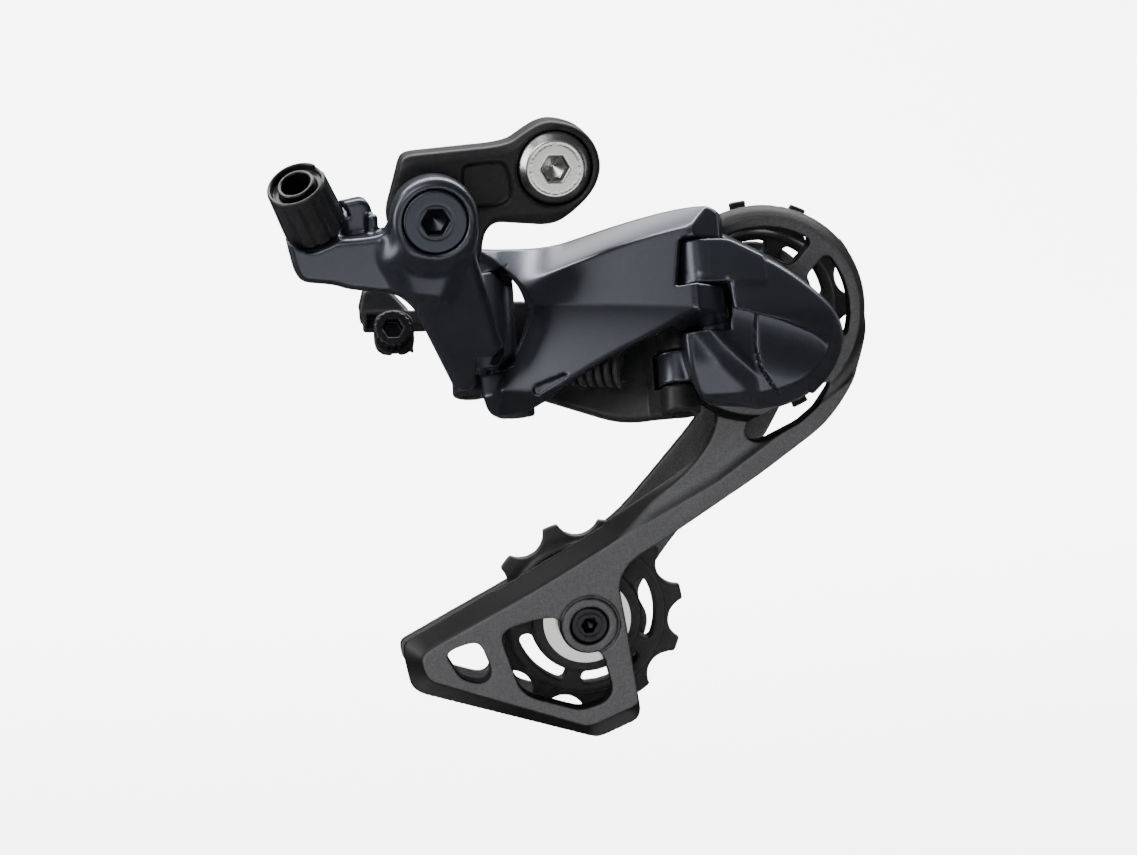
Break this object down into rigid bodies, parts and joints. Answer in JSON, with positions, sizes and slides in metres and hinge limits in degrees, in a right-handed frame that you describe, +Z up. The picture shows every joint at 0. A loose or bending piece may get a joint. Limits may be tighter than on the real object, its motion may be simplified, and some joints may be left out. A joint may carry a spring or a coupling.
{
  "type": "rear derailleur",
  "caption": "Rear bicycle derailleur with a short cage: bracket link, slant parallelogram, sprung two-pulley cage and barrel adjuster.",
  "frame": {"origin": "axis of the hanger bolt, on the outer face of the frame's hanger, where the bracket link bears", "axes": "+X towards the front of the bicycle, +Y inboard to the wheel along the hanger bolt, +Z up"},
  "size_m": [0.1296, 0.0491, 0.139],
  "materials": {
    "bright_steel": "bright turned steel",
    "plain_steel": "plain steel",
    "dark_steel": "darkened steel",
    "black_steel": "black oxide",
    "spring_steel": "black coated spring wire",
    "black_paint": "matte black",
    "link_black": "satin black",
    "body_finish": "satin metallic blue-grey",
    "cage_anodised": "bead-blasted dark anodised",
    "pulley_resin": "moulded black resin",
    "black_plastic": "moulded black plastic",
    "seal_rubber": "black rubber",
    "bronze": "sintered bronze",
    "ceramic_white": "sintered ceramic"
  },
  "bodies": {
    "hanger": {"hanger_bolt": "bright_steel", "hanger_circlip": "black_steel"},
    "bracket": {"bracket_link": "black_paint", "pivot_bolt": "black_steel", "pivot_washer": "plain_steel"},
    "rear_knuckle": {"rear_body": "body_finish", "pivot_bush": "bronze", "rear_outer_pin": "plain_steel", "rear_inner_pin": "plain_steel", "barrel_spring": "plain_steel"},
    "barrel": {"barrel_knob": "black_plastic", "barrel_screw": "dark_steel"},
    "b_screw": {"b_tension_screw": "plain_steel"},
    "high_screw": {"limit_screw_high": "black_steel"},
    "low_screw": {"limit_screw_low": "black_steel"},
    "outer_arm": {"outer_link": "body_finish", "front_outer_pin": "plain_steel"},
    "inner_arm": {"inner_link": "link_black", "front_inner_pin": "black_steel", "cable_plate": "plain_steel", "return_spring": "spring_steel"},
    "cable_clamp": {"cable_bolt": "plain_steel"},
    "front_knuckle": {"front_body": "body_finish", "cage_bush": "bronze", "cage_seal": "seal_rubber", "cage_spring": "spring_steel", "axle_screw": "black_steel"},
    "cage": {"cage_axle": "plain_steel", "stop_pin": "plain_steel", "outer_cage_plate": "cage_anodised", "inner_cage_plate": "cage_anodised", "guide_bolt": "black_steel", "guide_bush": "ceramic_white", "guide_caps": "plain_steel", "tension_bolt": "black_steel", "tension_inner_race": "plain_steel", "tension_caps": "bright_steel"},
    "guide_wheel": {"guide_pulley": "pulley_resin"},
    "tension_wheel": {"tension_pulley": "pulley_resin", "tension_outer_race": "plain_steel", "tension_balls": "bright_steel"}
  },
  "joints": [
    {"name": "bracket_turn", "type": "hinge", "parent": "hanger", "child": "bracket", "pos_m": [0, 0, 0], "axis": [0, -1, 0], "range_deg": [-20, 20]},
    {"name": "body_pivot", "type": "hinge", "parent": "bracket", "child": "rear_knuckle", "pos_m": [-0.0254, 0, -0.0092], "axis": [0, 1, 0], "range_deg": [0, 35]},
    {"name": "barrel_turn", "type": "hinge", "parent": "rear_knuckle", "child": "barrel", "pos_m": [-0.05068, -0.00888, -0.00746], "axis": [-0.3353, -0.5163, 0.788], "continuous": true},
    {"name": "b_screw_turn", "type": "hinge", "parent": "rear_knuckle", "child": "b_screw", "pos_m": [-0.03, -0.0044, -0.0205], "axis": [1, 0, 0], "continuous": true},
    {"name": "high_screw_turn", "type": "hinge", "parent": "rear_knuckle", "child": "high_screw", "pos_m": [-0.0167, 0.01633, -0.03825], "axis": [1, 0, 0], "continuous": true},
    {"name": "low_screw_turn", "type": "hinge", "parent": "rear_knuckle", "child": "low_screw", "pos_m": [-0.0167, 0.01404, -0.04258], "axis": [1, 0, 0], "continuous": true},
    {"name": "shift", "type": "hinge", "parent": "rear_knuckle", "child": "outer_arm", "pos_m": [-0.0107, 0.009, -0.0382], "axis": [0, 0.4695, 0.8829], "range_deg": [0, 52], "stiffness_Nm_per_rad": 0.5, "springref_deg": -40.11},
    {"name": "inner_swing", "type": "hinge", "parent": "rear_knuckle", "child": "inner_arm", "pos_m": [-0.0151, 0.02048, -0.0443], "axis": [0, 0.4695, 0.8829], "range_deg": [0, 52]},
    {"name": "front_pivot", "type": "hinge", "parent": "outer_arm", "child": "front_knuckle", "pos_m": [0.031, -0.0072, -0.02053], "axis": [0, 0.4695, 0.8829], "range_deg": [-52, 0]},
    {"name": "cable_bolt_turn", "type": "hinge", "parent": "inner_arm", "child": "cable_clamp", "pos_m": [-0.0317, 0.02176, -0.03977], "axis": [0, 0.8829, -0.4695], "continuous": true},
    {"name": "cage_turn", "type": "hinge", "parent": "front_knuckle", "child": "cage", "pos_m": [0.0425, 0, -0.0332], "axis": [0, -1, 0], "range_deg": [0, 95], "stiffness_Nm_per_rad": 0.12, "springref_deg": -103.13},
    {"name": "guide_spin", "type": "hinge", "parent": "cage", "child": "guide_wheel", "pos_m": [0.0461, 0.0115, -0.0347], "axis": [0, -1, 0], "continuous": true},
    {"name": "tension_spin", "type": "hinge", "parent": "cage", "child": "tension_wheel", "pos_m": [0.0091, 0.0115, -0.1025], "axis": [0, -1, 0], "continuous": true}
  ],
  "couplings": [
    {"joint": "inner_swing", "follows": "shift", "ratio": 1},
    {"joint": "front_pivot", "follows": "shift", "ratio": -1}
  ]
}
